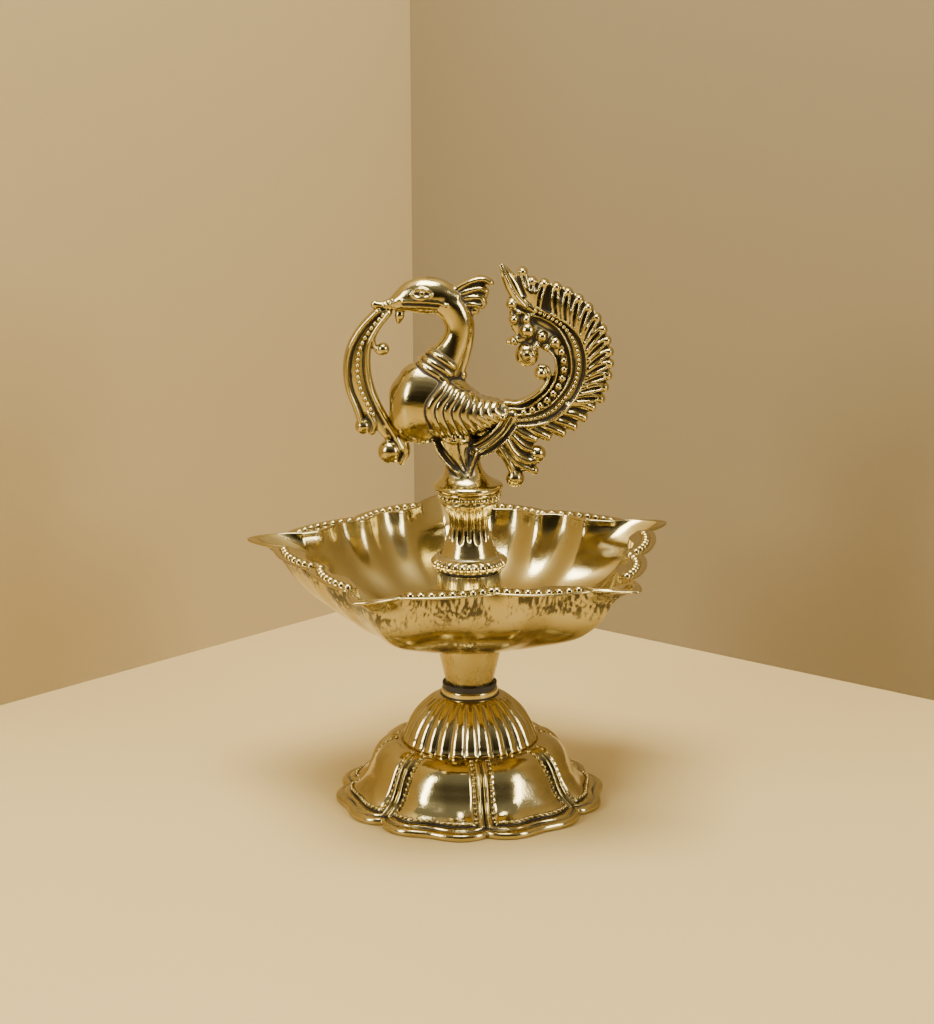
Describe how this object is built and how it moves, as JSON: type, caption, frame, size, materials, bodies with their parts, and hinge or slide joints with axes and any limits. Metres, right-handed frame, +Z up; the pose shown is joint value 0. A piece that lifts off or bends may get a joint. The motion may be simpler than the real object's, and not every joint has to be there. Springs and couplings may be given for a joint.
{
  "type": "five-wick oil lamp with a swan finial",
  "caption": "Cast brass oil lamp: hollow lotus foot, turned stem, spouted wick bowl with a beaded edge, fluted pillar and a swan finial; bowl and pillar unscrew for cleaning.",
  "frame": {"origin": "on the lamp's axis, at the height of the surface it stands on", "axes": "+Z up along the axis; -X is the way the swan looks; +Y is away from a viewer who sees its left side"},
  "size_m": [0.1376, 0.137, 0.1749],
  "materials": {
    "cast_brass": "polished cast brass with dark patina in the recesses",
    "turned_brass": "lathe-turned brass, lightly tarnished",
    "black_rubber": "matt black rubber"
  },
  "bodies": {
    "foot": {"lotus_foot": "cast_brass", "foot_stud": "turned_brass", "foot_nut_washer": "turned_brass", "foot_nut": "turned_brass"},
    "neck_ring": {"neck_washer": "black_rubber"},
    "bowl": {"bowl_stem": "turned_brass", "five_spout_bowl": "cast_brass"},
    "pillar_ring": {"pillar_washer": "black_rubber"},
    "pillar": {"pillar_stud": "turned_brass", "fluted_pillar": "cast_brass", "swan": "cast_brass"}
  },
  "joints": [
    {"name": "bowl_lift", "type": "slide", "parent": "foot", "child": "neck_ring", "axis": [0, 0, 1], "range_m": [0, 0.00901]},
    {"name": "bowl_unscrew", "type": "hinge", "parent": "neck_ring", "child": "bowl", "pos_m": [0, 0, 0.0387], "axis": [0, 0, 1], "range_deg": [0, 2160]},
    {"name": "pillar_lift", "type": "slide", "parent": "bowl", "child": "pillar_ring", "axis": [0, 0, 1], "range_m": [0, 0.00901]},
    {"name": "pillar_unscrew", "type": "hinge", "parent": "pillar_ring", "child": "pillar", "pos_m": [0, 0, 0.0768], "axis": [0, 0, 1], "range_deg": [0, 2160]}
  ],
  "couplings": [
    {"joint": "bowl_lift", "follows": "bowl_unscrew", "m_per_rad": 0.00023873},
    {"joint": "pillar_lift", "follows": "pillar_unscrew", "m_per_rad": 0.00023873}
  ]
}
